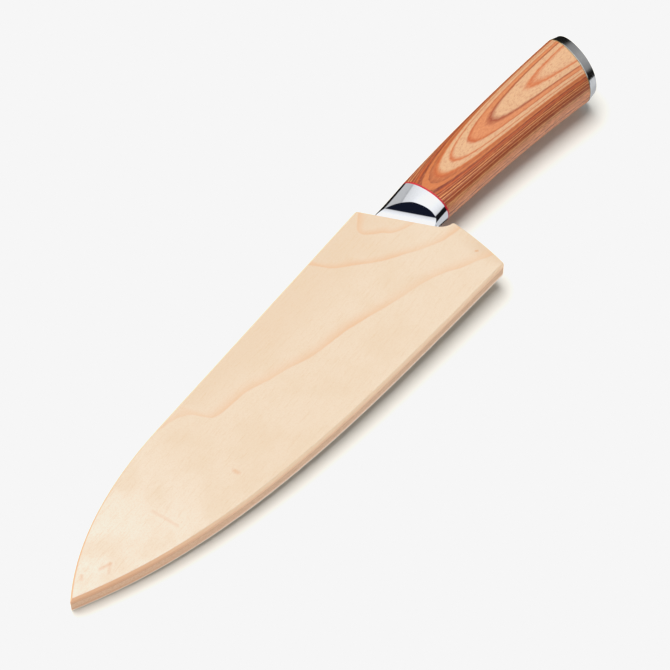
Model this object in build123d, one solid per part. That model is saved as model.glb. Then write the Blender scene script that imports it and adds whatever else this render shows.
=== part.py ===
from build123d import *
from math import atan2, copysign, cos, degrees, hypot, pi, radians, sin, tan
import os

# A wooden guard for a kitchen knife's blade, with the knife in it. Sizes are in millimetres.
# X runs from the blade's tip to the handle's butt, Y from the cutting edge to the spine, and Z out of
# the guard's front face. The origin is in the guard's mouth, on the mid-plane of the slot.

# Guard: two boards glued to a core that leaves the slot open
mouth_to_tip = 203.0
spine_side_height = 30.2
tip_height = 11.4
heel_side_height = 29.5
heel_setback = 1.9
board_thickness = 2.0
core_thickness = 2.6
slot_wall = 5.4
outline_bevel = 0.7

# Outline of the guard, as shares of the spans between its corners
straight_spine_share = 0.653
tip_curve_shares = ((0.28, 0.0), (0.689, 0.16))
belly_curve_shares = ((0.383, 0.154), (0.73, 0.23))

# Mouth of the guard: a slanted edge, a notch for the bolster and a bulge that covers the blade's heel
mouth_slant = 20.1
notch_start_height = 0.7
notch_peak_x = 4.8
notch_peak_y = -3.3
notch_depth = 0.8
heel_cover_bulge = 0.75
spine_corner_radius = 1.0
notch_peak_radius = 0.8
heel_corner_radius = 0.8

# Disc magnets, set into the inner face of each board along the spine side of the slot
magnet_radius = 4.0
magnet_thickness = 1.1
magnet_count = 3
magnet_pitch = 45.0
first_magnet_x = -38.0
magnet_row_depth = 17.2

# Blade: a plate with a flat grind, and a tang that runs into the handle
blade_thickness = 2.0
slot_clearance = 0.6
grind_width = 15.0
edge_thickness = 0.3
choil_x = 2.4
choil_y = 1.9
heel_slant = 16.9
tang_height = 9.0
tang_length = 24.0

# Bolster: an oval that turns into a lens towards the blade and is scooped down to the blade's faces
scoop_radius = 5.5
scoop_slope_angle = 58.0
scoop_setback = -0.1
lip_setback = 1.2
shoulder_setback = 3.2
bolster_front_x = -8.0
bolster_front_half_height = 11.0
bolster_front_half_thickness = 6.3

# Handle: an oval that swells and drops gently from the ring to the butt
ring_x = 9.9
ring_y = 12.7
ring_half_height = 11.25
ring_half_thickness = 7.3
ring_lean_angle = 4.5
butt_half_height = 15.05
butt_half_thickness = 11.2
waist_depth = 0.5
handle_length = 92.4
drop_angle = 3.0
bend_angle = 5.35
butt_lean_angle = 25.0
oval_points = 24
section_count = 6
section_span_shares = (-0.06, 1.24)

# How the ovals' corners are drawn in: below one they fill out, above one they thin to a lens
grip_power_share = 0.93
bolster_power_share = 1.5

# Spacers, end cap and rod
ring_spacer_thickness = 0.8
rear_spacer_thickness = 0.3
cap_thickness = 4.7
cap_taper = 1.2
cap_taper_length = 4.55
cap_rim_bevel = 0.3
cap_floor = 1.6
boss_radius = 5.0
boss_length = 7.0
rod_radius = 2.5
glue_gap = 0.2

# Points on each curve of the outline
curve_steps = 10

# Room that cutting and trimming shapes reach past what they cut
overrun = 30.0


def slant_x(y, setback=0.0):
    """X of a line parallel to the mouth's slanted edge, a setback behind it, at height y."""
    return setback - tan(radians(mouth_slant)) * y


def between(start, end, shares):
    """The point that lies at two shares of the way, along X and along Y, from start to end."""
    x = start[0] + shares[0] * (end[0] - start[0])
    y = start[1] + shares[1] * (end[1] - start[1])
    return (x, y)


def inset_curve(start, controls, end, inset):
    """A curve from start to end that its controls pull, moved to its own right by an inset."""
    curve = Bezier(start, *controls, end)
    points = []
    for n in range(curve_steps + 1):
        share = n / curve_steps
        out = (curve % share).rotate(Axis.Z, -90)
        points.append(curve @ share + out * inset)
    return Spline(*points, tangents=[curve % 0, curve % 1])


def spine_side(inset=0):
    """Everything on the edge side of the guard's spine side and tip curve, moved in by an inset."""
    turn = (-straight_spine_share * mouth_to_tip, spine_side_height)
    tip = (-mouth_to_tip, tip_height)
    controls = [between(turn, tip, shares) for shares in tip_curve_shares]
    curve = inset_curve(tip, reversed(controls), turn, inset)
    past_tip = curve @ 0 - (curve % 0) * 2 * overrun
    right = overrun
    low = -heel_side_height - 2 * overrun
    rest = Polyline(curve @ 1, (right, spine_side_height - inset), (right, low), (past_tip.X, low))
    return make_face(Curve() + [curve, rest, Polyline((past_tip.X, low), past_tip, curve @ 0)])


def belly_side(inset=0):
    """Everything on the spine side of the guard's belly, moved in by an inset."""
    tip = (-mouth_to_tip, tip_height)
    heel = (-heel_setback, -heel_side_height)
    controls = [between(heel, tip, shares) for shares in belly_curve_shares]
    curve = inset_curve(heel, controls, tip, inset)
    past_heel = curve @ 0 - (curve % 0) * overrun
    past_tip = curve @ 1 + (curve % 1) * overrun
    high = spine_side_height + grind_width + 2 * overrun
    rest = Polyline(curve @ 1, past_tip, (past_tip.X, high), (past_heel.X, high), past_heel, curve @ 0)
    return make_face(Curve() + [curve, rest])


def long_outline(inset=0):
    """Outline of the guard moved in by an inset, without its mouth: both sides run on past it."""
    return spine_side(inset) & belly_side(inset)


def mouth_region():
    """Everything behind the line of the mouth that the guard's boards may fill, as a face."""
    heel = (-heel_setback, -heel_side_height)
    far_heel = (-mouth_to_tip - overrun, -heel_side_height)
    far_spine = (-mouth_to_tip - overrun, spine_side_height)
    corner = (slant_x(spine_side_height), spine_side_height)
    notch_start = (slant_x(notch_start_height), notch_start_height)
    peak = (notch_peak_x, notch_peak_y)
    side = Polyline(heel, far_heel, far_spine, corner, notch_start)
    notch = SagittaArc(notch_start, peak, -notch_depth)
    cover = SagittaArc(peak, heel, heel_cover_bulge)
    region = make_face(Curve() + [side, notch, cover])
    for point, radius in (
        (corner, spine_corner_radius),
        (peak, notch_peak_radius),
        (heel, heel_corner_radius),
    ):
        nearest = region.vertices().sort_by_distance(point)[0]
        region = fillet([nearest], radius)
    return region


def slab(face, low, high):
    """A flat face made into a solid from height low to height high."""
    return extrude(Pos(0, 0, low) * face, high - low)


def guard_form():
    """The outside of the whole guard: bevelled all round its outline, square at the mouth."""
    half = core_thickness / 2 + board_thickness
    block = slab(long_outline(), -half, half)
    block = chamfer(block.edges().filter_by(Plane.XY), outline_bevel)
    return block & slab(mouth_region(), -half, half)


def magnets(side):
    """One board's magnets, flush with the wall of the slot. Side is 1 in front and -1 behind."""
    inner = core_thickness / 2
    low, high = (inner, inner + magnet_thickness) if side > 0 else (-inner - magnet_thickness, -inner)
    disc = slab(Circle(magnet_radius), low, high)
    row_y = spine_side_height - magnet_row_depth
    return [Pos(first_magnet_x - magnet_pitch * n, row_y) * disc for n in range(magnet_count)]


def board(form, side):
    """One face board of the guard, with blind pockets for its magnets."""
    inner = core_thickness / 2
    outer = inner + board_thickness
    low, high = (inner, outer) if side > 0 else (-outer, -inner)
    reach = Rectangle(2 * (mouth_to_tip + overrun), 2 * (spine_side_height + overrun))
    return (form & slab(reach, low, high)) - magnets(side)


def core(form, side):
    """Half of the core: the strip on the spine side of the slot for 1, on the edge side for -1."""
    half = core_thickness / 2
    slot = slab(long_outline(slot_wall), -half, half)
    reach = 2 * (mouth_to_tip + overrun)
    edge = Align.MIN if side > 0 else Align.MAX
    strip = Pos(0, tip_height) * Rectangle(reach, reach, align=(Align.CENTER, edge))
    return (form & slab(strip, -half, half)) - slot


def scoop_plane(setback):
    """Plane through a line parallel to the mouth, a setback behind the scoop's foot, facing the butt."""
    slant = radians(mouth_slant)
    across = (-sin(slant), cos(slant), 0)
    return Plane(origin=(scoop_setback + setback, 0, 0), x_dir=across, z_dir=(cos(slant), sin(slant), 0))


def handle_point(share):
    """Centre of the handle at a share of its length from the ring: it bends down along an arc."""
    start = radians(drop_angle)
    turn = radians(bend_angle)
    radius = handle_length / turn
    angle = start + turn * share
    x = ring_x + radius * (sin(angle) - sin(start))
    y = ring_y - radius * (cos(start) - cos(angle))
    return (x, y)


def cross_plane(share, lean, setback=0):
    """Plane across the handle, leaning by an angle from upright, a setback nearer the butt."""
    out = (cos(radians(lean)), -sin(radians(lean)), 0)
    across = (sin(radians(lean)), cos(radians(lean)), 0)
    return Plane(origin=(*handle_point(share), 0), x_dir=across, z_dir=out).offset(setback)


def tang_plane(distance):
    """Plane square to the straight line from the ring's centre to the butt's, at a distance along it."""
    end = handle_point(1)
    along = (end[0] - ring_x, end[1] - ring_y, 0)
    return Plane(origin=(ring_x, ring_y, 0), x_dir=(-along[1], along[0], 0), z_dir=along).offset(distance)


def tang_reach():
    """Length of the straight line from the ring's centre to the butt's."""
    end = handle_point(1)
    return hypot(end[0] - ring_x, end[1] - ring_y)


def behind(plane):
    """A block that fills what lies nearer the butt than a plane."""
    reach = 2 * (handle_length + overrun)
    return extrude(plane * Rectangle(reach, reach), reach)


def rod(radius, start, end):
    """A round rod on the tang's line."""
    return extrude(tang_plane(start) * Circle(radius), end - start)


def tang(start, end, clearance=0):
    """A flat bar on the tang's line."""
    bar = Rectangle(tang_height + 2 * clearance, blade_thickness + 2 * clearance)
    return extrude(tang_plane(start) * bar, end - start)


def oval(plane, half_height, half_thickness, power_share):
    """A closed oval on a plane whose own X runs across the handle."""
    points = []
    for n in range(oval_points):
        angle = 2 * pi * n / oval_points
        across = copysign(abs(cos(angle)) ** power_share, cos(angle)) * half_height
        out = copysign(abs(sin(angle)) ** power_share, sin(angle)) * half_thickness
        points.append(plane.from_local_coords((across, out, 0)))
    return Face(Wire([Spline(*points, periodic=True)]))


def handle_section(share):
    """The handle's oval at a share of its length from the ring."""
    half_height = ring_half_height + (butt_half_height - ring_half_height) * share
    half_thickness = ring_half_thickness + (butt_half_thickness - ring_half_thickness) * share
    half_thickness -= 4 * waist_depth * share * (1 - share)
    plane = cross_plane(share, drop_angle + bend_angle * share)
    return oval(plane, half_height, half_thickness, grip_power_share)


def handle_form():
    """The whole grip as one swelling oval, from a little before the ring to well past the butt."""
    first, last = section_span_shares
    step = (last - first) / (section_count - 1)
    return loft([handle_section(first + step * n) for n in range(section_count)])


def blade():
    """The blade with its tang: a plate ground towards the edge, cut off along its heel and shoulder."""
    half = blade_thickness / 2
    inset = slot_wall + slot_clearance
    plate = slab(long_outline(inset), -half, half)
    high = spine_side_height + overrun
    low = -heel_side_height - overrun
    left = -mouth_to_tip - overrun
    shoulder = scoop_setback + shoulder_setback
    heel_x = choil_x - (choil_y - low) * tan(radians(heel_slant))
    rear = Polyline(
        (left, high),
        (slant_x(high, shoulder), high),
        (slant_x(choil_y, shoulder), choil_y),
        (choil_x, choil_y),
        (heel_x, low),
        (left, low),
        close=True,
    )
    plate = plate & slab(make_face(rear), -half, half)
    rise = half - edge_thickness / 2
    ground = belly_side(inset)
    slope = degrees(atan2(grind_width, rise))
    wedge = extrude(Pos(0, 0, edge_thickness / 2) * ground, rise, taper=slope)
    wedges = slab(ground, -edge_thickness / 2, edge_thickness / 2) + wedge + mirror(wedge, Plane.XY)
    root = slant_x(ring_y, scoop_setback) - ring_x
    return (plate & wedges) + tang(root, tang_length)


def scoop():
    """What is cut away over the blade's front face: a hollow that runs into a steep straight slope."""
    slant = radians(mouth_slant)
    section = Plane(
        origin=(scoop_setback, 0, 0),
        x_dir=(cos(slant), sin(slant), 0),
        z_dir=(sin(slant), -cos(slant), 0),
    )
    foot = (0, blade_thickness / 2)
    hollow = JernArc(start=foot, tangent=(1, 0), radius=scoop_radius, arc_size=scoop_slope_angle)
    top = hollow @ 1 + (hollow % 1) * overrun
    rest = Polyline(hollow @ 1, top, (-overrun, top.Y), (-overrun, blade_thickness / 2), foot)
    return extrude(section * make_face(Curve() + [hollow, rest]), ring_half_height + overrun, both=True)


def bolster(solid_blade):
    """An oval that turns into a lens towards the blade, scooped on both faces down to the blade's."""
    front = Plane(origin=(bolster_front_x, bolster_front_y(), 0), x_dir=(0, 1, 0), z_dir=(1, 0, 0))
    lens = oval(front, bolster_front_half_height, bolster_front_half_thickness, bolster_power_share)
    full = oval(cross_plane(0, ring_lean_angle), ring_half_height, ring_half_thickness, grip_power_share)
    form = loft([lens, full], ruled=True) & behind(scoop_plane(lip_setback))
    upper = scoop()
    form = form - upper - mirror(upper, Plane.XY)
    return form - solid_blade


def bolster_front_y():
    """Height of the bolster's centre line at its front: it runs on from the handle's drop."""
    return ring_y + (ring_x - bolster_front_x) * tan(radians(drop_angle))


def slice_of(form, start, end):
    """What a form holds between two planes."""
    return (form & behind(start)) - behind(end)


def handle_body(form):
    """The wooden grip, bored for the rod and the cap's boss and slotted for the tang."""
    start = cross_plane(0, ring_lean_angle, ring_spacer_thickness)
    body = slice_of(form, start, cross_plane(1, butt_lean_angle))
    body -= tang(0, tang_length + glue_gap, glue_gap)
    body -= rod(rod_radius + glue_gap, 0, tang_reach())
    return body - rod(boss_radius + glue_gap, tang_reach() - boss_length - glue_gap, tang_reach() + overrun)


def ring_spacer(form):
    """The thin coloured ring between the bolster and the wood."""
    start = cross_plane(0, ring_lean_angle)
    ring = slice_of(form, start, start.offset(ring_spacer_thickness))
    return ring - tang(-overrun, overrun)


def rear_spacer(form):
    """The thin liner between the wood and the end cap."""
    start = cross_plane(1, butt_lean_angle)
    liner = slice_of(form, start, start.offset(rear_spacer_thickness))
    return liner - rod(boss_radius, 0, tang_reach() + overrun)


def butt_cap(form):
    """The steel end cap, with a boss that reaches into the wood and a blind hole for the rod."""
    start = cross_plane(1, butt_lean_angle, rear_spacer_thickness)
    end = cross_plane(1, butt_lean_angle, rear_spacer_thickness + cap_thickness)
    cap = slice_of(form, start, end)
    rim = cap.faces().sort_by_distance(end.origin)[0]
    cap = chamfer(rim.edges(), cap_taper, cap_taper_length, reference=rim)
    rim = cap.faces().sort_by_distance(end.origin)[0]
    cap = chamfer(rim.edges(), cap_rim_bevel)
    boss = rod(boss_radius, tang_reach() - boss_length, tang_reach() + rear_spacer_thickness + cap_floor)
    return cap + boss - rod(rod_radius, 0, rod_end())


def rod_end():
    """How far the rod reaches along the tang's line: it stops short of the cap's outer face."""
    return tang_reach() + rear_spacer_thickness + cap_thickness - cap_floor


def write(name, solids):
    """Writes one sub-part as a STEP file under its name."""
    export_step(Compound(solids), f"parts/{name}.step")


def main():
    os.makedirs("parts", exist_ok=True)
    guard = guard_form()
    grip = handle_form()
    knife_blade = blade()
    pieces = {
        "front_board": board(guard, 1),
        "back_board": board(guard, -1),
        "spine_core_strip": core(guard, 1),
        "edge_core_strip": core(guard, -1),
        "front_magnets": magnets(1),
        "back_magnets": magnets(-1),
        "blade": knife_blade,
        "bolster": bolster(knife_blade),
        "ring_spacer": ring_spacer(grip),
        "handle_body": handle_body(grip),
        "rear_spacer": rear_spacer(grip),
        "butt_cap": butt_cap(grip),
        "tang_rod": rod(rod_radius, tang_length, rod_end()),
    }
    for name, piece in pieces.items():
        solids = piece if isinstance(piece, list) else piece.solids()
        write(name, [solid for part in solids for solid in part.solids()])


main()
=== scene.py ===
# %% [markdown]
# # A wooden blade guard on its kitchen knife
#
# This lesson dresses a finished CAD model. The model brings every shape: two boards glued to a thin core,
# and a knife pushed into the slot between them. What is left for Blender is the finish: pale plywood with
# faint growth lines, polished and brushed steel, a grip of pressed veneers, and the soft light of a product
# photograph.
#
# Everything is in metres and in the CAD's own frame. X runs from the guard's tip to the knife's butt, Y from
# the cutting edge to the spine, and Z out of the guard's front face.

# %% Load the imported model
import bpy
import math
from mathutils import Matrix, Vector


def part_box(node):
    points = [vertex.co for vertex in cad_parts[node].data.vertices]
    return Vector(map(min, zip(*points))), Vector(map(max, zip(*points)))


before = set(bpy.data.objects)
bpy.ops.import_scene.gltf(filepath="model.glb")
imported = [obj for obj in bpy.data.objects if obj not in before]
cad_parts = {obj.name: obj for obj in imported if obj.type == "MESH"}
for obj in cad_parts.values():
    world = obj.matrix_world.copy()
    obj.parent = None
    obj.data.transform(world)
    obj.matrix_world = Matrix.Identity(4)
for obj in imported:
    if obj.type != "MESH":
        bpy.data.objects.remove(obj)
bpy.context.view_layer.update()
print("CAD nodes:", ", ".join(sorted(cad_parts)))

# %% [markdown]
# ## Camera
#
# The photograph looks down on the object from its cutting-edge side, 51 degrees up, with a long lens. The
# camera could be placed by eye and nudged, but its angles were solved from the object's own corners, so it is
# simply aimed: it stands at a distance from a target along a direction that two angles give.

# %% Place the camera
CAMERA_TARGET = Vector((-0.0622, 0.0044, 0.0))
CAMERA_DISTANCE = 0.71429
CAMERA_AZIMUTH = math.radians(-55.8)
CAMERA_ELEVATION = math.radians(50.96)
LENS_MM = 107.46
SENSOR_MM = 36.0
NEAREST_SEEN = 0.01
FARTHEST_SEEN = 20.0


def direction_from(azimuth, elevation):
    """Unit vector that points from the object to a camera at these angles."""
    flat = math.cos(elevation)
    return Vector((math.sin(azimuth) * flat, -math.cos(azimuth) * flat, math.sin(elevation)))


def place_camera():
    """Adds the camera and makes it the scene's own."""
    camera = bpy.data.objects.new("photo_camera", bpy.data.cameras.new("photo_camera"))
    bpy.context.scene.collection.objects.link(camera)
    camera.data.lens = LENS_MM
    camera.data.sensor_width = SENSOR_MM
    camera.data.clip_start = NEAREST_SEEN
    camera.data.clip_end = FARTHEST_SEEN
    back = direction_from(CAMERA_AZIMUTH, CAMERA_ELEVATION)
    camera.location = CAMERA_TARGET + back * CAMERA_DISTANCE
    camera.rotation_euler = back.to_track_quat("Z", "Y").to_euler()
    bpy.context.scene.camera = camera
    return camera


camera = place_camera()
print("camera at", [round(v, 4) for v in camera.location])

# %% [markdown]
# ## Floor
#
# Guard and knife lie on a table. The guard is 6.6 mm thick and the butt 22 mm, so the whole thing rests on
# the guard's tip and on the butt, tilted by a degree and a half. The CAD keeps the guard level, so here the
# floor leans instead. Its slope is read from the nodes: it goes through the guard's lowest corner near the
# tip and just touches the vertex behind it that would sink first.

# %% Lay the floor under the model
FLOOR_SIZE = 9.0
SAME_HEIGHT = 1e-5
TIP_LENGTH = 0.05


def shown_points():
    """Every vertex of the CAD nodes."""
    return [vertex.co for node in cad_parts.values() for vertex in node.data.vertices]


def resting_line():
    """Lowest vertex nearest the tip, and the slope of the floor that holds the model there."""
    points = shown_points()
    board_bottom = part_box("back_board")[0].z
    flat = [p for p in points if p.z < board_bottom + SAME_HEIGHT]
    toe = min(flat, key=lambda p: p.x)
    slopes = [(toe.z - p.z) / (p.x - toe.x) for p in points if p.x - toe.x > TIP_LENGTH]
    return toe, max(slopes)


def lay_floor():
    """A plane that carries the model."""
    toe, slope = resting_line()
    mesh = bpy.data.meshes.new("floor")
    half = FLOOR_SIZE / 2
    corners = [(-half, -half), (half, -half), (half, half), (-half, half)]
    mesh.from_pydata([(x, y, toe.z - slope * (x - toe.x)) for x, y in corners], [], [(0, 1, 2, 3)])
    floor = bpy.data.objects.new("floor", mesh)
    bpy.context.scene.collection.objects.link(floor)
    print("floor leans by", round(math.degrees(math.atan(slope)), 2), "degrees")
    return floor


floor = lay_floor()

# %% [markdown]
# ## Tones
#
# A paint chart gives a colour as three numbers from 0 to 255, and those numbers follow the eye. Shaders add
# up light, so each number is first turned into an amount of light, by the formula of the sRGB standard.

# %% Tones


def to_light(value):
    """A chart's number as an amount of light."""
    share = value / 255
    return share / 12.92 if share <= 0.04045 else ((share + 0.055) / 1.055) ** 2.4


def tone(red, green, blue):
    """A chart's colour as the opaque colour that a shader takes."""
    return (to_light(red), to_light(green), to_light(blue), 1.0)


print("half way on the chart is", round(to_light(128), 3), "of the light")

# %% [markdown]
# ## Helpers for node trees
#
# A material here is a small network, and a few helpers keep the cells below short. Each adds one node, fills
# its inputs with numbers or with other nodes' outputs, and gives back its own output.

# %% Node helpers


def join(tree, value, socket):
    """Puts a number, a colour or another node's output into a socket."""
    if isinstance(value, bpy.types.NodeSocket):
        tree.links.new(value, socket)
    elif value is not None:
        socket.default_value = value


def add(tree, kind, inputs=(), **settings):
    """Adds a node, sets its properties and fills the inputs that are named."""
    node = tree.nodes.new(kind)
    for name, value in settings.items():
        setattr(node, name, value)
    for name, value in dict(inputs).items():
        join(tree, value, node.inputs[name])
    return node


def maths(tree, operation, *values, clamp=False):
    """A Math node on two or three values, as its output."""
    node = add(tree, "ShaderNodeMath", operation=operation, use_clamp=clamp)
    for socket, value in zip(node.inputs, values):
        join(tree, value, socket)
    return node.outputs[0]


def product(tree, first, *others):
    """All the values multiplied."""
    for other in others:
        first = maths(tree, "MULTIPLY", first, other)
    return first


def spread(tree, value, low, high, to_low=0.0, to_high=1.0, smooth=True):
    """Maps a value from one range to another, level outside it."""
    kind = "SMOOTHSTEP" if smooth else "LINEAR"
    node = add(tree, "ShaderNodeMapRange", interpolation_type=kind)
    for name, number in (("From Min", low), ("From Max", high), ("To Min", to_low), ("To Max", to_high)):
        join(tree, number, node.inputs[name])
    join(tree, value, node.inputs["Value"])
    return node.outputs["Result"]


print("helpers:", [helper.__name__ for helper in (join, add, maths, product, spread)])

# %% [markdown]
# ## Helpers for colour
#
# Most finishes are built like paint: a ground colour, and over it thinner ones that show only where a mask
# lets them. Blending is that one step. A tint is the same with the mask made on the spot: it grows as a value
# goes from low to high.

# %% Colour helpers
# A Mix node has sockets for numbers, vectors and colours under the same names, so they are picked by number.
MIX_INPUTS = (0, 6, 7)
MIX_OUTPUT = 2


def blend_colours(tree, share, first, second, how="MIX"):
    """Two colours mixed by a share."""
    node = add(tree, "ShaderNodeMix", data_type="RGBA", blend_type=how, clamp_factor=True)
    for value, number in zip((share, first, second), MIX_INPUTS):
        join(tree, value, node.inputs[number])
    return node.outputs[MIX_OUTPUT]


def tint(tree, colour, other, value, low, high, most=1.0):
    """A colour that turns into another, at most by a share, as a value goes from low to high."""
    return blend_colours(tree, spread(tree, value, low, high, 0.0, most), colour, other)


def noise_at(tree, place, scale, detail):
    """Cloudy noise over the position, between zero and one."""
    return add(tree, "ShaderNodeTexNoise", {"Vector": place, "Scale": scale, "Detail": detail}).outputs["Fac"]


print("helpers:", [helper.__name__ for helper in (blend_colours, tint, noise_at)])

# %% [markdown]
# ## Helpers for groups
#
# A node group is worth having when more than one material uses an effect, because it is built once and then
# placed with different values. One helper makes an empty group and one places it.

# %% Group helpers
VALUE, VECTOR = "NodeSocketFloat", "NodeSocketVector"


def new_group(name, inputs, outputs):
    """An empty node group: each input is (name, kind, value) and each output (name, kind)."""
    tree = bpy.data.node_groups.new(name, "ShaderNodeTree")
    for label, kind, value in inputs:
        socket = tree.interface.new_socket(label, in_out="INPUT", socket_type=kind)
        if value is not None:
            socket.default_value = value
    for label, kind in outputs:
        tree.interface.new_socket(label, in_out="OUTPUT", socket_type=kind)
    return tree, tree.nodes.new("NodeGroupInput"), tree.nodes.new("NodeGroupOutput")


def place_group(tree, group, **values):
    """Puts a group into a tree; underscores in the names stand for spaces."""
    node = tree.nodes.new("ShaderNodeGroup")
    node.node_tree = group
    for name, value in values.items():
        join(tree, value, node.inputs[name.replace("_", " ")])
    return node


print("helpers:", [helper.__name__ for helper in (new_group, place_group)])

# %% [markdown]
# ## Where a point lies
#
# Wood has a direction, so its pattern must know where it is on the object. The meshes have no UV map, and
# none is needed: the Object coordinate is the CAD's own position. It is turned into millimetres once, in a
# group, so that all the numbers below can be read off a ruler.

# %% Place group
MM_PER_METRE = 1000.0


def make_place():
    """Group: the point's position in millimetres, whole and split."""
    outputs = [("Place", VECTOR), ("X", VALUE), ("Y", VALUE), ("Z", VALUE)]
    tree, _, out = new_group("place_in_mm", [], outputs)
    spot = add(tree, "ShaderNodeTexCoord").outputs["Object"]
    scaled = add(tree, "ShaderNodeVectorMath", {"Scale": MM_PER_METRE}, operation="SCALE")
    join(tree, spot, scaled.inputs[0])
    split = add(tree, "ShaderNodeSeparateXYZ", {"Vector": scaled.outputs[0]})
    join(tree, scaled.outputs[0], out.inputs["Place"])
    for axis in "XYZ":
        join(tree, split.outputs[axis], out.inputs[axis])
    return tree


place_in_mm = make_place()
print("group:", place_in_mm.name)

# %% [markdown]
# ## Fibres
#
# Every wooden piece shows short fibres along its length. A noise that is squeezed across the grain and
# stretched along it gives them. The group takes the grain's fineness across and its length along, and gives
# one value around zero. It serves colour and bump alike, so that a dark fibre is also a shallow groove.

# %% Fibre group
NOISE_MIDDLE = 0.5
FIBRE_DETAIL = 3.0


def make_fibres():
    """Group: noise drawn out along X, around zero."""
    sizes = [("Across mm", VALUE, 0.3), ("Along mm", VALUE, 6.0), ("Rough", VALUE, 0.55)]
    tree, into, out = new_group("wood_fibres", [("Place", VECTOR, None), *sizes], [("Fibre", VALUE)])
    split = add(tree, "ShaderNodeSeparateXYZ", {"Vector": into.outputs["Place"]})
    widths = {"X": "Along mm", "Y": "Across mm", "Z": "Across mm"}
    parts = {axis: maths(tree, "DIVIDE", split.outputs[axis], into.outputs[widths[axis]]) for axis in "XYZ"}
    vector = add(tree, "ShaderNodeCombineXYZ", parts).outputs[0]
    noise = add(tree, "ShaderNodeTexNoise", {"Vector": vector, "Scale": 1.0, "Detail": FIBRE_DETAIL})
    join(tree, into.outputs["Rough"], noise.inputs["Roughness"])
    join(tree, maths(tree, "SUBTRACT", noise.outputs["Fac"], NOISE_MIDDLE), out.inputs["Fibre"])
    return tree


def fibres(tree, place, **sizes):
    """The fibre group placed in a tree, as its value."""
    return place_group(tree, wood_fibres, Place=place, **sizes).outputs["Fibre"]


wood_fibres = make_fibres()
print("group:", wood_fibres.name)

# %% [markdown]
# ## Growth lines
#
# A rotary-cut veneer shows where it crosses the tree's rings: long peach lines, sharp on one side and fading
# on the other. A wave texture could draw many of them, but this board has just three, each with its own
# course. So each line is a curve drawn in a Float Curve node, and a group gives the distance from it. The
# drop to the curve is divided by the curve's length over one millimetre, so that a steep line isn't fatter
# than a flat one.

# %% A course in a Float Curve


def share_of(value, span):
    """Where a value lies in a span, as a share of it."""
    return (value - span[0]) / (span[1] - span[0])


def draw_curve(node, points, span_in, span_out):
    """Gives a Float Curve node a course through points in millimetres."""
    curve = node.mapping.curves[0]
    shares = [(share_of(u, span_in), share_of(v, span_out)) for u, v in sorted(points)]
    while len(curve.points) > 2:
        curve.points.remove(curve.points[1])
    curve.points[0].location = shares[0]
    curve.points[1].location = shares[-1]
    for share in shares[1:-1]:
        curve.points.new(*share)
    node.mapping.extend = "EXTRAPOLATED"
    node.mapping.use_clip = False
    node.mapping.update()


print("half way across:", share_of(5.0, (0.0, 10.0)))

# %% Growth line group
SLOPE_STEP = 1.0


def make_growth_line(name, points, span_in, span_out):
    """Group: signed distance from one line in millimetres, given the two positions across the board."""
    tree, into, out = new_group(name, [("Along", VALUE, 0.0), ("Up", VALUE, 0.0)], [("Distance", VALUE)])

    def height_at(along):
        share = spread(tree, along, *span_in, smooth=False)
        node = add(tree, "ShaderNodeFloatCurve", {"Value": share})
        draw_curve(node, points, span_in, span_out)
        return maths(tree, "MULTIPLY_ADD", node.outputs[0], span_out[1] - span_out[0], span_out[0])

    here = height_at(into.outputs["Along"])
    ahead = height_at(maths(tree, "ADD", into.outputs["Along"], SLOPE_STEP))
    slope = maths(tree, "SUBTRACT", ahead, here)
    length = maths(tree, "SQRT", maths(tree, "MULTIPLY_ADD", slope, slope, 1.0))
    drop = maths(tree, "SUBTRACT", into.outputs["Up"], here)
    join(tree, maths(tree, "DIVIDE", drop, length), out.inputs["Distance"])
    return tree


print("a line's slope is taken over", SLOPE_STEP, "mm")

# %% The board's three lines
BOARD_X = (-140.0, 10.0)
BOARD_Y = (-32.0, 32.0)
LONG_LINE = (
    (-137.0, 31.0), (-132.0, 29.0), (-127.0, 27.5), (-122.0, 24.5), (-119.5, 19.5), (-118.0, 17.0),
    (-113.0, 15.5), (-103.0, 13.8), (-94.0, 10.5), (-84.0, 7.0), (-75.0, 3.6), (-65.0, 1.7), (-55.0, -1.0),
    (-45.0, -4.3), (-35.0, -7.5), (-25.0, -10.3), (-20.0, -12.6), (-10.0, -18.8), (-1.0, -23.5), (6.0, -27.0),
)
SHORT_LINE = (
    (-44.0, 32.0), (-41.0, 26.0), (-39.5, 22.0), (-37.0, 19.0), (-33.5, 16.0), (-28.0, 10.0), (-20.0, 4.3),
    (-10.0, -2.4), (-5.0, -4.8), (3.0, -6.5),
)
CORNER_LOOP = (
    (32.0, -5.0), (28.5, -11.0), (26.3, -15.0), (24.0, -18.5), (21.5, -19.0), (18.5, -17.0), (16.0, -14.5),
    (12.5, -12.0), (10.3, -8.0), (7.0, 2.0),
)
long_line = make_growth_line("long_growth_line", LONG_LINE, BOARD_X, BOARD_Y)
short_line = make_growth_line("short_growth_line", SHORT_LINE, BOARD_X, BOARD_Y)
corner_loop = make_growth_line("corner_growth_loop", CORNER_LOOP, BOARD_Y, BOARD_X)
print("growth lines:", [line.name for line in (long_line, short_line, corner_loop)])

# %% [markdown]
# ## Small marks
#
# Real veneer has a few marks of its own: a faint scratch of darker grain, a tiny knot, a curl near the tip.
# Each is the soft shadow of a short stroke, so one group that measures how far a point is from a stroke
# serves them all. A mark is its two ends on the face, its reach in millimetres and its strength.

# %% Mark group
MARKS = (
    ((-160.5, 0.5), (-160.5, 10.5), 1.1, 0.22),
    ((-132.0, -3.6), (-132.0, -2.2), 1.5, 0.4),
    ((-188.0, 11.0), (-184.5, 9.5), 1.1, 0.35),
    ((-184.5, 9.5), (-187.5, 7.8), 1.0, 0.25),
    ((-194.5, 13.6), (-193.4, 14.4), 1.1, 0.35),
    ((-2.0, -18.0), (-2.4, -17.6), 0.8, 0.7),
)


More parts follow.
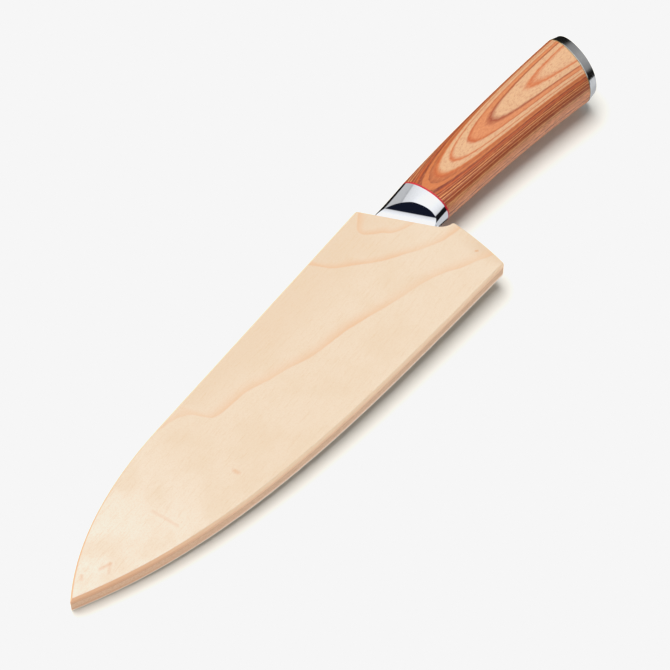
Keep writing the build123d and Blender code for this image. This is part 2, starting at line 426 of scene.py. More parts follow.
def make_mark():
    """Group: one on a stroke between two points, falling to zero at its reach."""
    ends = [("Start", VECTOR, None), ("End", VECTOR, None)]
    inputs = [("Place", VECTOR, None), *ends, ("Reach", VALUE, 1.0)]
    tree, into, out = new_group("short_mark", inputs, [("Mark", VALUE)])

    def vector_maths(operation, first, second, output=0):
        node = add(tree, "ShaderNodeVectorMath", operation=operation)
        join(tree, first, node.inputs[0])
        join(tree, second, node.inputs[1])
        return node.outputs[output]

    stroke = vector_maths("SUBTRACT", into.outputs["End"], into.outputs["Start"])
    spot = vector_maths("SUBTRACT", into.outputs["Place"], into.outputs["Start"])
    along = vector_maths("DOT_PRODUCT", spot, stroke, "Value")
    whole = vector_maths("DOT_PRODUCT", stroke, stroke, "Value")
    share = maths(tree, "DIVIDE", along, whole, clamp=True)
    nearest = add(tree, "ShaderNodeVectorMath", {"Scale": share}, operation="SCALE")
    join(tree, stroke, nearest.inputs[0])
    gap = vector_maths("DISTANCE", spot, nearest.outputs[0], "Value")
    join(tree, spread(tree, gap, 0.0, into.outputs["Reach"], 1.0, 0.0), out.inputs["Mark"])
    return tree


short_mark = make_mark()
print("marks:", len(MARKS))

# %% [markdown]
# ## An empty material
#
# All finishes start alike: a Principled BSDF joined to the output, and later a bump on its normal. The bump's
# depth is given in millimetres and turned into metres here, so that it is read off the same ruler.

# %% Material helpers


def new_material(slot):
    """An empty material with a Principled BSDF, named after its slot."""
    material = bpy.data.materials.new(slot)
    material.use_nodes = True
    tree = material.node_tree
    tree.nodes.clear()
    shader = tree.nodes.new("ShaderNodeBsdfPrincipled")
    result = tree.nodes.new("ShaderNodeOutputMaterial")
    tree.links.new(shader.outputs[0], result.inputs["Surface"])
    return material, tree, shader


def add_bump(tree, shader, height, depth_mm):
    """Joins a height to the shader's normal, with its depth in millimetres."""
    relief = {"Height": height, "Strength": 1.0, "Distance": depth_mm / MM_PER_METRE}
    bump = add(tree, "ShaderNodeBump", relief)
    join(tree, bump.outputs[0], shader.inputs["Normal"])


print("helpers:", [helper.__name__ for helper in (new_material, add_bump)])

# %% [markdown]
# ## The growth lines as one mask
#
# A line is drawn with two edges: it rises within half a millimetre and fades over a few. A slow noise bends
# all three a little, so that they don't look ruled, and another lets them come and go along their length.

# %% Growth line mask
LONG_EDGES = (0.35, 5.0)
SHORT_EDGES = (0.4, 4.0)
FADE_POWER = 1.6
WAVER_NOISE = (0.09, 2.0)
WAVER_MM = 1.6
DRIFT_NOISE = (0.045, 1.0)
DRIFT_SPAN = (0.3, 0.7)
LINE_STRENGTH = (0.5, 0.95)


def line_mask(tree, distance, rise, fade):
    """One growth line: rises over one width in millimetres and fades over another."""
    up_side = spread(tree, distance, -rise, rise)
    down_side = spread(tree, distance, 0.0, fade, 1.0, 0.0, smooth=False)
    return product(tree, up_side, maths(tree, "POWER", down_side, FADE_POWER))


def growth_lines(tree, place, x, y):
    """The three lines as one mask, and the distance from the long one."""
    bend = maths(tree, "MULTIPLY_ADD", noise_at(tree, place, *WAVER_NOISE), WAVER_MM, -WAVER_MM / 2)
    across = maths(tree, "ADD", y, bend)
    lengthways = maths(tree, "ADD", x, bend)
    from_long = place_group(tree, long_line, Along=x, Up=across).outputs["Distance"]
    from_short = place_group(tree, short_line, Along=x, Up=across).outputs["Distance"]
    from_loop = place_group(tree, corner_loop, Along=y, Up=lengthways).outputs["Distance"]
    mask = line_mask(tree, from_long, *LONG_EDGES)
    for distance in (from_short, from_loop):
        mask = maths(tree, "MAXIMUM", mask, line_mask(tree, distance, *SHORT_EDGES))
    strength = spread(tree, noise_at(tree, place, *DRIFT_NOISE), *DRIFT_SPAN, *LINE_STRENGTH)
    return product(tree, mask, strength), from_long


print("a line fades over", LONG_EDGES[1], "mm at most")

# %% [markdown]
# ## The boards' face
#
# The two boards are maple-faced plywood, and their flat faces are cream. The broad changes come first: whiter
# towards the tip, warmer above the long line near the spine, tanner in the heel's corner, and mottled all
# over. Then come the growth lines, the fibres, a fine speckle of pores and the small marks.

# %% Face colour
CREAM = tone(204, 186, 164)
TIP_CREAM = tone(212, 201, 186)
WARM_CREAM = tone(200, 178, 153)
CORNER_TAN = tone(190, 164, 136)
MOTTLE = tone(200, 179, 153)
PEACH = tone(202, 162, 128)
GRAIN_TAN = tone(196, 166, 132)
MARK_TAN = tone(192, 136, 94)
FACE_HEIGHT = 3.3
ABOVE_LINE = (0.5, 14.0)
NEAR_SPINE = (4.0, 26.0)
WARM_SHARE = 0.75
HEEL_X = (-6.0, 1.0)
HEEL_Y = (-6.0, -20.0)
CORNER_SHARE = 0.6
CLOUD_NOISE = (0.08, 3.0)
CLOUD_SPAN = (0.42, 0.68, 0.5)
FIBRE_SPAN = (0.02, 0.25, 0.45)
SPECKLE_NOISE = (2.2, 3.0)
SPECKLE_SPAN = (0.4, 0.75, 0.35)


def face_colour(tree, place, x, y, to_tip, fibre):
    """The cream face, from its broadest change of tone to its finest."""
    lines, from_long = growth_lines(tree, place, x, y)
    cream = blend_colours(tree, to_tip, CREAM, TIP_CREAM)
    above_line = spread(tree, from_long, *ABOVE_LINE)
    warm = product(tree, above_line, spread(tree, y, *NEAR_SPINE), WARM_SHARE)
    cream = blend_colours(tree, warm, cream, WARM_CREAM)
    corner = product(tree, spread(tree, x, *HEEL_X), spread(tree, y, *HEEL_Y), CORNER_SHARE)
    cream = blend_colours(tree, corner, cream, CORNER_TAN)
    cream = tint(tree, cream, MOTTLE, noise_at(tree, place, *CLOUD_NOISE), *CLOUD_SPAN)
    cream = blend_colours(tree, lines, cream, PEACH)
    cream = tint(tree, cream, GRAIN_TAN, fibre, *FIBRE_SPAN)
    cream = tint(tree, cream, GRAIN_TAN, noise_at(tree, place, *SPECKLE_NOISE), *SPECKLE_SPAN)
    for start, end, reach, strength in MARKS:
        ends = {"Start": (*start, FACE_HEIGHT), "End": (*end, FACE_HEIGHT)}
        mark = place_group(tree, short_mark, Place=place, Reach=reach, **ends).outputs["Mark"]
        cream = blend_colours(tree, product(tree, mark, strength), cream, MARK_TAN)
    return cream


print("the face lies", FACE_HEIGHT, "mm over the middle")

# %% [markdown]
# ## The boards' bevel and wall
#
# The bevel cuts across the veneer and is tan. The narrow wall under it is pinkish, with short dark flecks,
# and the upper board's edge is a little yellower than the lower one's. Both wall tones are set lighter than
# the face: partly the edge's own colour, partly painted light standing in for lamp light the wall doesn't
# get.
# The pale strip at the very bottom is the lower arris, which the sanding block has rounded; its paleness is a
# painted highlight of the table's light. The tip is cut across the grain and is darker.

# %% Side colour
BEVEL_TAN = tone(222, 194, 164)
# The wall tones are lighter than the face's cream: partly the edge's own colour, partly painted light.
WALL_PINK_AND_PAINTED_LIGHT = tone(236, 202, 180)
FLECK = tone(176, 132, 96)
UPPER_TAN_AND_PAINTED_LIGHT = tone(236, 200, 168)
TIP_TAN = tone(212, 158, 120)
# Painted highlight: the table's light caught on the rounded lower arris.
ARRIS_PAINTED_HIGHLIGHT = tone(252, 238, 224)
BEVEL_FOOT = 2.6
WALL_EDGE = (BEVEL_FOOT - 0.05, BEVEL_FOOT + 0.1)
HATCH_MM = {"Across_mm": 0.25, "Along_mm": 1.2}
FLECK_SPAN = (0.0, 0.25, 0.45)
UPPER_BOARD = (0.8, 1.8)
ARRIS_HIGHLIGHT_SPAN = (-BEVEL_FOOT, -1.8)
TIP_TAN_SHARE = 0.75


def side_colour(tree, place, z, height, to_tip):
    """The bevel and the wall below it, split by the height in the board."""
    # The wall's pink and tan carry painted light on top of their own colour.
    wall = tint(tree, WALL_PINK_AND_PAINTED_LIGHT, FLECK, fibres(tree, place, **HATCH_MM), *FLECK_SPAN)
    wall = tint(tree, wall, UPPER_TAN_AND_PAINTED_LIGHT, z, *UPPER_BOARD)
    side = blend_colours(tree, spread(tree, height, *WALL_EDGE, 1.0, 0.0), BEVEL_TAN, wall)
    side = blend_colours(tree, product(tree, to_tip, TIP_TAN_SHARE), side, TIP_TAN)
    # Paints the highlight of the table's light along the wall's lower arris.
    return blend_colours(tree, spread(tree, z, *ARRIS_HIGHLIGHT_SPAN, 1.0, 0.0), side, ARRIS_PAINTED_HIGHLIGHT)


print("the bevel starts", round(FACE_HEIGHT - BEVEL_FOOT, 2), "mm under the face")

# %% [markdown]
# ## Plywood
#
# One material can hold face, bevel and wall, because a point's height in the board says which it is. The
# sealed wood is matt with a faint sheen, and its fibres are also a shallow relief.

# %% Plywood material
TIP_SPAN = (-192.0, -125.0)
FACE_EDGE = (FACE_HEIGHT - 0.05, FACE_HEIGHT - 0.01)
FACE_FIBRE_MM = {"Across_mm": 0.35, "Along_mm": 5.0}
SEALED_ROUGHNESS = 0.62
SEALED_RELIEF_MM = 0.04


def make_plywood(slot):
    """The boards' material."""
    material, tree, shader = new_material(slot)
    spot = place_group(tree, place_in_mm).outputs
    fibre = fibres(tree, spot["Place"], **FACE_FIBRE_MM)
    height = maths(tree, "ABSOLUTE", spot["Z"])
    to_tip = spread(tree, spot["X"], *TIP_SPAN, 1.0, 0.0)
    face = face_colour(tree, spot["Place"], spot["X"], spot["Y"], to_tip, fibre)
    side = side_colour(tree, spot["Place"], spot["Z"], height, to_tip)
    colour = blend_colours(tree, spread(tree, height, *FACE_EDGE), side, face)
    join(tree, colour, shader.inputs["Base Color"])
    shader.inputs["Roughness"].default_value = SEALED_ROUGHNESS
    add_bump(tree, shader, fibre, SEALED_RELIEF_MM)
    return material


FINISHES = {"maple_ply": make_plywood("maple_ply")}
print("plywood nodes:", len(FINISHES["maple_ply"].node_tree.nodes))

# %% [markdown]
# ## Core
#
# The core between the boards is the same maple, warmer because only its edges show, with a dark glue line
# against each board.

# %% Core material
CORE_MAPLE = tone(226, 190, 160)
CORE_SHADE = tone(208, 166, 136)
CORE_GLUE = tone(178, 128, 96)
CORE_FIBRE_MM = {"Across_mm": 0.3, "Along_mm": 4.0}
CORE_SPAN = (-0.2, 0.25)
GLUE_SPAN = (1.16, 1.26, 0.8)
CORE_ROUGHNESS = 0.7
CORE_RELIEF_MM = 0.08


def make_core_ply(slot):
    """The core: warm maple with a dark glue line against each board."""
    material, tree, shader = new_material(slot)
    spot = place_group(tree, place_in_mm).outputs
    fibre = fibres(tree, spot["Place"], **CORE_FIBRE_MM)
    colour = tint(tree, CORE_MAPLE, CORE_SHADE, fibre, *CORE_SPAN)
    colour = tint(tree, colour, CORE_GLUE, maths(tree, "ABSOLUTE", spot["Z"]), *GLUE_SPAN)
    join(tree, colour, shader.inputs["Base Color"])
    shader.inputs["Roughness"].default_value = CORE_ROUGHNESS
    add_bump(tree, shader, fibre, CORE_RELIEF_MM)
    return material


FINISHES["core_ply"] = make_core_ply("core_ply")
print("core nodes:", len(FINISHES["core_ply"].node_tree.nodes))

# %% [markdown]
# ## The grip's pressed block
#
# The grip is cut from a block of stained veneers pressed flat, so a carved oval shows them as nested
# contours: wide where the surface runs along a layer and tight where it crosses many. That comes for free
# when colour depends on the height inside the block. The press bent the layers a little, and a small
# polynomial of the position bends them here: each entry names the position's letters that are multiplied.

# %% Bent layers group
GRIP_CENTRE = {"X": 58.0, "Y": 10.0, "Z": 0.0}
GRIP_SPANS = {"X": 50.0, "Y": 12.0, "Z": 10.0}
LAYER_BENDS = (
    ("X", 0.121), ("XX", -0.22), ("XXX", 0.308), ("Y", 2.113), ("YY", 1.659), ("XY", 1.182), ("XYY", 0.473),
    ("XXY", 0.065), ("ZX", -1.275), ("ZXX", -0.54), ("ZY", -1.832), ("ZYY", -0.813),
)


def make_bent_layers():
    """Group: height of a point in the pressed block, in millimetres."""
    tree, _, out = new_group("bent_layers", [], [("Height", VALUE), ("Place", VECTOR)])
    spot = place_group(tree, place_in_mm).outputs
    share = {}
    for axis in "XYZ":
        offset = maths(tree, "SUBTRACT", spot[axis], GRIP_CENTRE[axis])
        share[axis] = maths(tree, "DIVIDE", offset, GRIP_SPANS[axis])
    total = spot["Z"]
    for letters, amount in LAYER_BENDS:
        term = product(tree, *[share[letter] for letter in letters])
        total = maths(tree, "MULTIPLY_ADD", term, amount, total)
    join(tree, total, out.inputs["Height"])
    join(tree, spot["Place"], out.inputs["Place"])
    return tree


bent_layers = make_bent_layers()
print("group:", bent_layers.name)

# %% [markdown]
# ## Veneers and glue lines
#
# The block's recipe is a stack, as its maker would write it: the height where each stained veneer starts and
# ends, and the glue lines between them, each with the reach of its two soft edges. The peach at the lowest
# heights, on the grip's sides, is lightened: partly its own colour, partly painted sheen. A Color Ramp can
# hold the stack, with one stop for each change. It takes 32 stops at most, so there are two, joined at the
# crest's foot.

# %% The block's recipe
PALE_VENEER = tone(196, 156, 118)
ORANGE_VENEER = tone(190, 120, 76)
COPPER_VENEER = tone(180, 102, 52)
RUST_VENEER = tone(168, 78, 30)
AMBER_VENEER = tone(196, 120, 60)
RED_VENEER = tone(154, 68, 25)
TAN_VENEER = tone(190, 125, 76)
# Lightened: partly the veneer's own peach, partly painted sheen of the bright floor on the grip's sides.
PEACH_VENEER_AND_PAINTED_SHEEN = tone(234, 155, 105)
DARK_GLUE = tone(132, 50, 16)
PALE_GLUE = tone(178, 92, 44)
VENEERS = (
    (0.0, PEACH_VENEER_AND_PAINTED_SHEEN), (2.8, PEACH_VENEER_AND_PAINTED_SHEEN), (3.1, TAN_VENEER), (3.9, TAN_VENEER), (4.45, RED_VENEER),
    (6.0, RED_VENEER), (6.15, AMBER_VENEER), (6.3, AMBER_VENEER), (6.42, RUST_VENEER), (7.05, RUST_VENEER),
    (7.1, COPPER_VENEER), (7.66, COPPER_VENEER), (7.76, PALE_VENEER), (8.34, PALE_VENEER),
    (8.44, ORANGE_VENEER), (8.66, ORANGE_VENEER), (8.82, PALE_VENEER), (9.3, PALE_VENEER),
)
GLUE_LINES = (
    (4.85, 0.1, 0.1, DARK_GLUE), (5.35, 0.1, 0.1, DARK_GLUE), (5.8, 0.1, 0.14, DARK_GLUE),
    (7.0, 0.12, 0.09, DARK_GLUE), (7.6, 0.07, 0.05, RUST_VENEER), (8.0, 0.06, 0.1, PALE_GLUE),
    (8.39, 0.06, 0.07, RUST_VENEER), (8.73, 0.09, 0.08, DARK_GLUE), (9.11, 0.06, 0.09, PALE_GLUE),
)
CREST_FOOT = 7.66


def veneer_at(level):
    """The bare veneer's colour at a height, from the two named heights around it."""
    for (low, first), (high, second) in zip(VENEERS, VENEERS[1:]):
        if level <= high:
            share = share_of(level, (low, high))
            return tuple(a + (b - a) * share for a, b in zip(first, second))
    return VENEERS[-1][1]


def layers_between(low, high):
    """Heights and colours of a part of the block: its veneers, and its glue lines with their soft edges."""
    lines = [line for line in GLUE_LINES if low < line[0] < high]
    stops = {low: veneer_at(low), high: veneer_at(high)}
    for level, colour in VENEERS:
        covered = any(middle - below < level < middle + above for middle, below, above, _ in lines)
        if low < level < high and not covered:
            stops[level] = colour
    for middle, below, above, colour in lines:
        for edge in (middle - below, middle + above):
            stops[edge] = veneer_at(edge)
        stops[middle] = colour
    return sorted(stops.items())


print("layers shown on the crest:", len(layers_between(CREST_FOOT, VENEERS[-1][0])))

# %% Layer ramps


def layer_ramp(tree, height, low, high):
    """A Color Ramp over a part of the block's height."""
    node = add(tree, "ShaderNodeValToRGB", {"Fac": spread(tree, height, low, high, smooth=False)})
    ramp = node.color_ramp
    while len(ramp.elements) > 1:
        ramp.elements.remove(ramp.elements[-1])
    for n, (level, colour) in enumerate(layers_between(low, high)):
        position = share_of(level, (low, high))
        stop = ramp.elements[0] if n == 0 else ramp.elements.new(position)
        stop.position = position
        stop.color = colour
    return node.outputs["Color"]


def layer_colours(tree, height):
    """The block's colour at a height, from the two ramps."""
    lower = layer_ramp(tree, height, VENEERS[0][0], CREST_FOOT)
    upper = layer_ramp(tree, height, CREST_FOOT, VENEERS[-1][0])
    return blend_colours(tree, maths(tree, "GREATER_THAN", height, CREST_FOOT), lower, upper)


print("glue lines:", len(GLUE_LINES))

# %% [markdown]
# ## Grip wood
#
# Over the layers lie the veneers' own growth lines, which show where the grip crosses them steeply, on its
# edge side: dark ones that break off here and there, and a few pale ones. They are a noise along the height,
# so they follow the bent layers. Last come the pores, as short dark dashes with a little relief.

# %% Grip material
DARK_LINE = tone(104, 28, 8)
PALE_LINE = tone(232, 172, 116)
PORE = tone(160, 84, 46)
JITTER_FIBRE_MM = {"Across_mm": 0.5, "Along_mm": 9.0}
JITTER_MM = 0.04
LINES_PER_MM = 4.6
DARK_SPAN = (0.47, 0.53)
DARK_REACH = (7.2, 7.7, 1.0, 0.0)
BREAK_FIBRE_MM = {"Across_mm": 0.6, "Along_mm": 16.0}
BREAK_SPAN = (-0.2, 0.1, 0.35, 1.0)
PALE_SPAN = (0.43, 0.36, 0.0, 0.75)
PALE_REACH = (6.9, 7.2, 1.0, 0.0)
PORE_MM = {"Across_mm": 0.3, "Along_mm": 1.6, "Rough": 0.8}
PORE_SPAN = (0.0, 0.16, 0.7)
PALE_PORE_SPAN = (-0.05, -0.2, 0.3)
OILED_ROUGHNESS = 0.42
PORE_DEPTH_MM = 0.03


def make_grip_wood(slot):
    """The grip's material."""
    material, tree, shader = new_material(slot)
    block = place_group(tree, bent_layers).outputs
    place = block["Place"]
    height = maths(tree, "ABSOLUTE", block["Height"])
    height = maths(tree, "MULTIPLY_ADD", fibres(tree, place, **JITTER_FIBRE_MM), JITTER_MM, height)
    colour = layer_colours(tree, height)
    line_noise = {"W": product(tree, height, LINES_PER_MM), "Scale": 1.0, "Detail": 1.0}
    lines = add(tree, "ShaderNodeTexNoise", line_noise, noise_dimensions="1D").outputs["Fac"]
    unbroken = spread(tree, fibres(tree, place, **BREAK_FIBRE_MM), *BREAK_SPAN)
    dark = product(tree, spread(tree, lines, *DARK_SPAN), spread(tree, height, *DARK_REACH), unbroken)
    colour = blend_colours(tree, dark, colour, DARK_LINE)
    pale = product(tree, spread(tree, lines, *PALE_SPAN), spread(tree, height, *PALE_REACH))
    colour = blend_colours(tree, pale, colour, PALE_LINE)
    pores = fibres(tree, place, **PORE_MM)
    colour = tint(tree, colour, PORE, pores, *PORE_SPAN)
    colour = tint(tree, colour, PALE_LINE, pores, *PALE_PORE_SPAN)
    join(tree, colour, shader.inputs["Base Color"])
    shader.inputs["Roughness"].default_value = OILED_ROUGHNESS
    add_bump(tree, shader, pores, PORE_DEPTH_MM)
    return material


FINISHES["handle_wood"] = make_grip_wood("handle_wood")
print("grip nodes:", len(FINISHES["handle_wood"].node_tree.nodes))

# %% [markdown]
# ## Streaks in steel
#
# The bolster is polished and mirrors the studio, so its finish is nearly all light: a clean surface with a
# trace of haze. The cap is brushed round its rim and the blade is ground across its width, so both carry fine
# streaks. One group gives streaks: a noise squeezed hard in one direction.

# %% Streak group
STREAK_DETAIL = 4.0
STREAK_ROUGHNESS = 0.7


def make_streaks():
    """Group: fine parallel scratches across a direction that the three widths set."""
    widths = [(f"{axis} mm", VALUE, 1.0) for axis in "XYZ"]
    tree, into, out = new_group("grinding_streaks", [("Place", VECTOR, None), *widths], [("Streak", VALUE)])
    split = add(tree, "ShaderNodeSeparateXYZ", {"Vector": into.outputs["Place"]})
    parts = {axis: maths(tree, "DIVIDE", split.outputs[axis], into.outputs[f"{axis} mm"]) for axis in "XYZ"}
    vector = add(tree, "ShaderNodeCombineXYZ", parts).outputs[0]
    grind = {"Vector": vector, "Scale": 1.0, "Detail": STREAK_DETAIL, "Roughness": STREAK_ROUGHNESS}
    noise = add(tree, "ShaderNodeTexNoise", grind)
    join(tree, maths(tree, "SUBTRACT", noise.outputs["Fac"], NOISE_MIDDLE), out.inputs["Streak"])
    return tree


grinding_streaks = make_streaks()
print("group:", grinding_streaks.name)

# %% [markdown]
# ## Steel
#
# Each steel is one entry in a table: its tone, its roughness, the streaks' widths along X, Y and Z, and their
# depth. The streaks go to the roughness, to a slightly darker tone and to a very shallow bump. Haze is how
# far the roughness strays, and shade how dark a streak gets. The blade's streaks are the boldest, and the
# bolster's can hardly be seen.

# %% Steel materials
ROUGHNESS_SPAN = (-0.3, 0.3)
SHADE_SPAN = (-0.2, 0.2)


def make_steel(slot, colour, roughness, widths, depth_mm, haze=0.1, shade=0.93):
    """A steel with streaks."""
    material, tree, shader = new_material(slot)
    place = place_group(tree, place_in_mm).outputs["Place"]
    sizes = {f"{axis}_mm": width for axis, width in zip("XYZ", widths)}
    streak = place_group(tree, grinding_streaks, Place=place, **sizes).outputs["Streak"]
    roughness_range = (roughness * (1 - haze), roughness * (1 + haze))
    rough = spread(tree, streak, *ROUGHNESS_SPAN, *roughness_range, smooth=False)
    join(tree, rough, shader.inputs["Roughness"])
    darker = (*(channel * shade for channel in colour[:3]), 1.0)
    join(tree, tint(tree, colour, darker, streak, *SHADE_SPAN), shader.inputs["Base Color"])
    shader.inputs["Metallic"].default_value = 1.0
    add_bump(tree, shader, streak, depth_mm)
    return material


STEELS = {
    "magnet_steel": dict(colour=tone(226, 224, 218), roughness=0.22, widths=(1.0, 1.0, 1.0), depth_mm=0.004),
    "blade_steel": dict(colour=tone(206, 208, 211), roughness=0.34, widths=(0.7, 26.0, 3.0), depth_mm=0.006,
                        haze=0.35, shade=0.78),
    "bolster_steel": dict(colour=tone(200, 202, 206), roughness=0.06, widths=(0.4, 0.4, 0.4),
                          depth_mm=0.0001),
    "cap_steel": dict(colour=tone(196, 197, 198), roughness=0.13, widths=(0.3, 9.0, 9.0), depth_mm=0.006,
                      haze=0.4),
    "rod_steel": dict(colour=tone(200, 202, 205), roughness=0.3, widths=(0.1, 4.0, 4.0), depth_mm=0.01),
}
FINISHES.update({slot: make_steel(slot, **steel) for slot, steel in STEELS.items()})
print("steels:", ", ".join(STEELS))

# %% [markdown]
# ## Liners
#
# Two thin sheets finish the grip: a glossy crimson ring in front of it, and a liner behind it whose dark
# olive is painted shade, the shadow line against the cap. Both are sheet, polished flush, and slightly
# cloudy, and the ring is dyed.

# %% Liner materials
SHEET_NOISE = (0.6, 3.0)
SHEET_SPAN = (0.35, 0.65)


def make_sheet(slot, colour, shade, roughness):
    """Sheet material, cut and polished: a slightly cloudy colour with a clear sheen. The ring's colour is
    dye, the rear liner's painted shade.
    """
    material, tree, shader = new_material(slot)
    place = place_group(tree, place_in_mm).outputs["Place"]
    cloudy = tint(tree, colour, shade, noise_at(tree, place, *SHEET_NOISE), *SHEET_SPAN)
    join(tree, cloudy, shader.inputs["Base Color"])
    shader.inputs["Roughness"].default_value = roughness
    return material


LINERS = {
    "red_liner": dict(colour=tone(190, 24, 44), shade=tone(168, 16, 34), roughness=0.3),
    # The rear liner's dark olive is painted shade: the shadow line where the grip meets the cap.
    "rear_liner": dict(colour=tone(132, 118, 74), shade=tone(92, 78, 46), roughness=0.5),
}
FINISHES.update({slot: make_sheet(slot, **sheet) for slot, sheet in LINERS.items()})
print("finishes:", ", ".join(FINISHES))

# %% [markdown]
# ## Handing out the finishes
#
# The record names a slot for each node, and the imported meshes carry those names. So dressing the model is a
# loop: look at each mesh's slot and put the finish of the same name into it. The shapes are not touched.

# %% Put the finishes on the nodes


def dress(node):
    """Swaps each plain CAD material for the finish with the same name."""
    for n, material in enumerate(node.data.materials):
        node.data.materials[n] = FINISHES[material.name.split(".")[0]]
    return [material.name for material in node.data.materials]


for name, node in sorted(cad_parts.items()):
    print(name, "wears", dress(node))

# %% [markdown]
# ## What the steel mirrors
#
# Polished steel shows what surrounds it, so the studio is drawn as a sky, and a point's direction picks the
# brightness. There is a wide white tent overhead, dimmer behind the butt, and a tall window on the spine
# side. A grey card behind the butt lights the cap's end face. Dark walls low down give the bolster its dark
# crescent: navy towards the tip, and neutral behind the butt.

# %% Tent, window and card
TENT_EDGE = (0.44, 0.52)
TENT_TOP = 0.95
TENT_LIGHT = (1.25, 1.85)
BUTT_SIDE = (0.56, 0.80)
BUTT_SIDE_SHARE = 0.5
WINDOW_WIDTH = (0.78, 0.86)
WINDOW_FOOT = (-0.16, -0.08)
WINDOW_LIGHT = 0.92
CARD_SIDE = (0.66, 0.80)
CARD_EDGE = (0.26, 0.42)
CARD_LIGHT = 0.46
JUST_OVER_ONE = 1.001


def studio_light(tree, x, y, z):
    """Brightness of the tent, the window and the card in a direction."""
    tent = product(tree, spread(tree, z, *TENT_EDGE),
                   spread(tree, z, TENT_EDGE[1], TENT_TOP, *TENT_LIGHT, smooth=False),
                   spread(tree, x, *BUTT_SIDE, 1.0, BUTT_SIDE_SHARE))
    level = maths(tree, "SQRT", maths(tree, "SUBTRACT", JUST_OVER_ONE, product(tree, z, z)))
    to_spine = maths(tree, "DIVIDE", y, level)
    window = product(tree, spread(tree, to_spine, *WINDOW_WIDTH), spread(tree, z, *WINDOW_FOOT), WINDOW_LIGHT)
    card = product(tree, spread(tree, x, *CARD_SIDE), spread(tree, z, *CARD_EDGE), CARD_LIGHT)
    return maths(tree, "MAXIMUM", maths(tree, "MAXIMUM", tent, window), card)


print("the tent's light:", TENT_LIGHT)

# %% [markdown]
# ## The mirrored floor
#
# The real floor is left out of reflections, and the lower half of this sky stands for it: bright in front of
# the object and beside the butt, and dark elsewhere. The camera sees none of this, but a plain pale backdrop.
# The sky is only mirrored: it lights nothing.

# %% World
WALL_COLOUR = (0.012, 0.016, 0.034, 1.0)
BUTT_WALL_COLOUR = (0.014, 0.014, 0.013, 1.0)
WALL_CHANGE = (0.0, 0.5)
FRONT_FLOOR = (1.05, 1.07, 1.10, 1.0)
FLOOR_LINE = (-0.03, 0.0)
FRONT_SPAN = (0.1, 0.5)
BUTT_FLOOR = (0.58, 0.72)
BUTT_FLOOR_EDGE = (0.5, 0.3, 0.0, 0.8)
BACKDROP = (1.2, 1.2, 1.2, 1.0)


def floor_share(tree, x, y, z):
    """How much of the bright floor a direction shows."""
    below = spread(tree, z, *FLOOR_LINE, 1.0, 0.0)
    ahead = spread(tree, maths(tree, "ADD", y, x), *FRONT_SPAN, 1.0, 0.0)
    beside = product(tree, spread(tree, x, *BUTT_FLOOR), spread(tree, y, *BUTT_FLOOR_EDGE))
    return product(tree, below, maths(tree, "MAXIMUM", ahead, beside))


def build_world():
    """The mirrored studio, with a plain pale backdrop for the camera."""
    world = bpy.data.worlds.new("studio")
    bpy.context.scene.world = world
    world.use_nodes = True
    tree = world.node_tree
    tree.nodes.clear()
    aim = add(tree, "ShaderNodeTexCoord").outputs["Generated"]
    axes = add(tree, "ShaderNodeSeparateXYZ", {"Vector": aim}).outputs
    x, y, z = (axes[axis] for axis in "XYZ")
    light = studio_light(tree, x, y, z)
    white = add(tree, "ShaderNodeCombineColor", {"Red": light, "Green": light, "Blue": light}).outputs[0]
    wall = tint(tree, WALL_COLOUR, BUTT_WALL_COLOUR, x, *WALL_CHANGE)
    sky = blend_colours(tree, 1.0, wall, white, "ADD")
    sky = blend_colours(tree, floor_share(tree, x, y, z), sky, FRONT_FLOOR)
    to_camera = add(tree, "ShaderNodeLightPath").outputs["Is Camera Ray"]
    seen = blend_colours(tree, to_camera, sky, BACKDROP)
    background = add(tree, "ShaderNodeBackground", {"Color": seen, "Strength": 1.0})
    result = add(tree, "ShaderNodeOutputWorld")
    join(tree, background.outputs[0], result.inputs["Surface"])
    world.cycles_visibility.diffuse = False
    return world


print("world:", build_world().name)

# %% [markdown]
# ## What lights the wood
#
# Three suns do the lighting, all wide and all left out of reflections. One covers the whole sky and keeps
# shadows open. The key comes from above the spine side and throws the narrow shadow along the belly. A weak
# one from the camera's side fills the wall of the guard. Each is given as the direction towards it, its width
# in degrees and its strength.

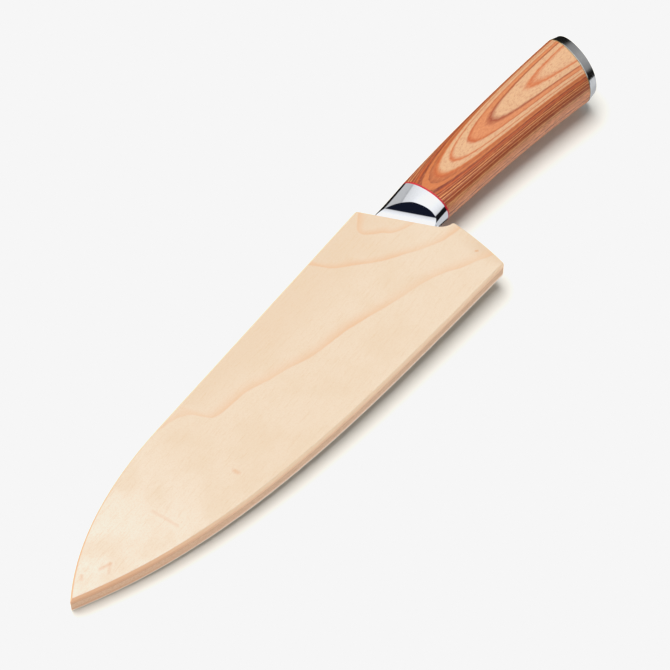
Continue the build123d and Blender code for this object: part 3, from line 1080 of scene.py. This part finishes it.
# %% Suns
SUNS = (
    ("sky_sun", (0.0, 0.0, 1.0), 170.0, 0.8),
    ("key_sun", (0.06, 0.34, 0.94), 60.0, 4.1),
    ("fill_sun", (-0.35, -0.90, 0.24), 60.0, 0.85),
)


def add_sun(name, toward, width_degrees, strength):
    """A wide soft sun that casts a shadow and stays out of reflections."""
    sun = bpy.data.objects.new(name, bpy.data.lights.new(name, "SUN"))
    bpy.context.scene.collection.objects.link(sun)
    sun.data.energy = strength
    sun.data.angle = math.radians(width_degrees)
    sun.rotation_euler = Vector(toward).to_track_quat("Z", "Y").to_euler()
    sun.visible_glossy = False
    return sun


print("suns:", [add_sun(*sun).name for sun in SUNS])

# %% [markdown]
# ## The floor's finish
#
# The table is a sheet of matt card, without any shine of its own. Its colour is a little yellow. Where the
# light falls on it, the picture's cut-off whites hide that, so only the shadows show it, as in the
# photograph.

# %% Floor finish
CARD_COLOUR = (0.81, 0.795, 0.745, 1.0)
CARD_GRAIN = {"Scale": 900.0, "Detail": 2.0}
CARD_ROUGHNESS = (0.9, 1.0)


def make_floor_finish():
    """Matt white card."""
    material, tree, shader = new_material("white_card")
    grain = add(tree, "ShaderNodeTexNoise", CARD_GRAIN)
    join(tree, spread(tree, grain.outputs["Fac"], 0.0, 1.0, *CARD_ROUGHNESS), shader.inputs["Roughness"])
    shader.inputs["Base Color"].default_value = CARD_COLOUR
    shader.inputs["Specular IOR Level"].default_value = 0.0
    return material


floor.data.materials.append(make_floor_finish())
floor.visible_glossy = False
print("floor wears", floor.data.materials[0].name)

# %% [markdown]
# ## Print of the picture
#
# The photograph's paper white is 246 of 255, and anything brighter is cut off there. Blender can do the same:
# the Standard view shows colours as they are, and a curve ends at that white.

# %% View
PAPER_WHITE = to_light(246)
ALL_CHANNELS = 3


def set_view():
    """Plain colours, cut off at the paper's white."""
    view = bpy.context.scene.view_settings
    view.view_transform = "Standard"
    view.look = "None"
    view.use_curve_mapping = True
    mapping = view.curve_mapping
    mapping.use_clip = True
    mapping.extend = "HORIZONTAL"
    mapping.curves[ALL_CHANNELS].points[-1].location = (1.0, PAPER_WHITE)
    mapping.update()


set_view()
print("paper white:", round(PAPER_WHITE, 3))
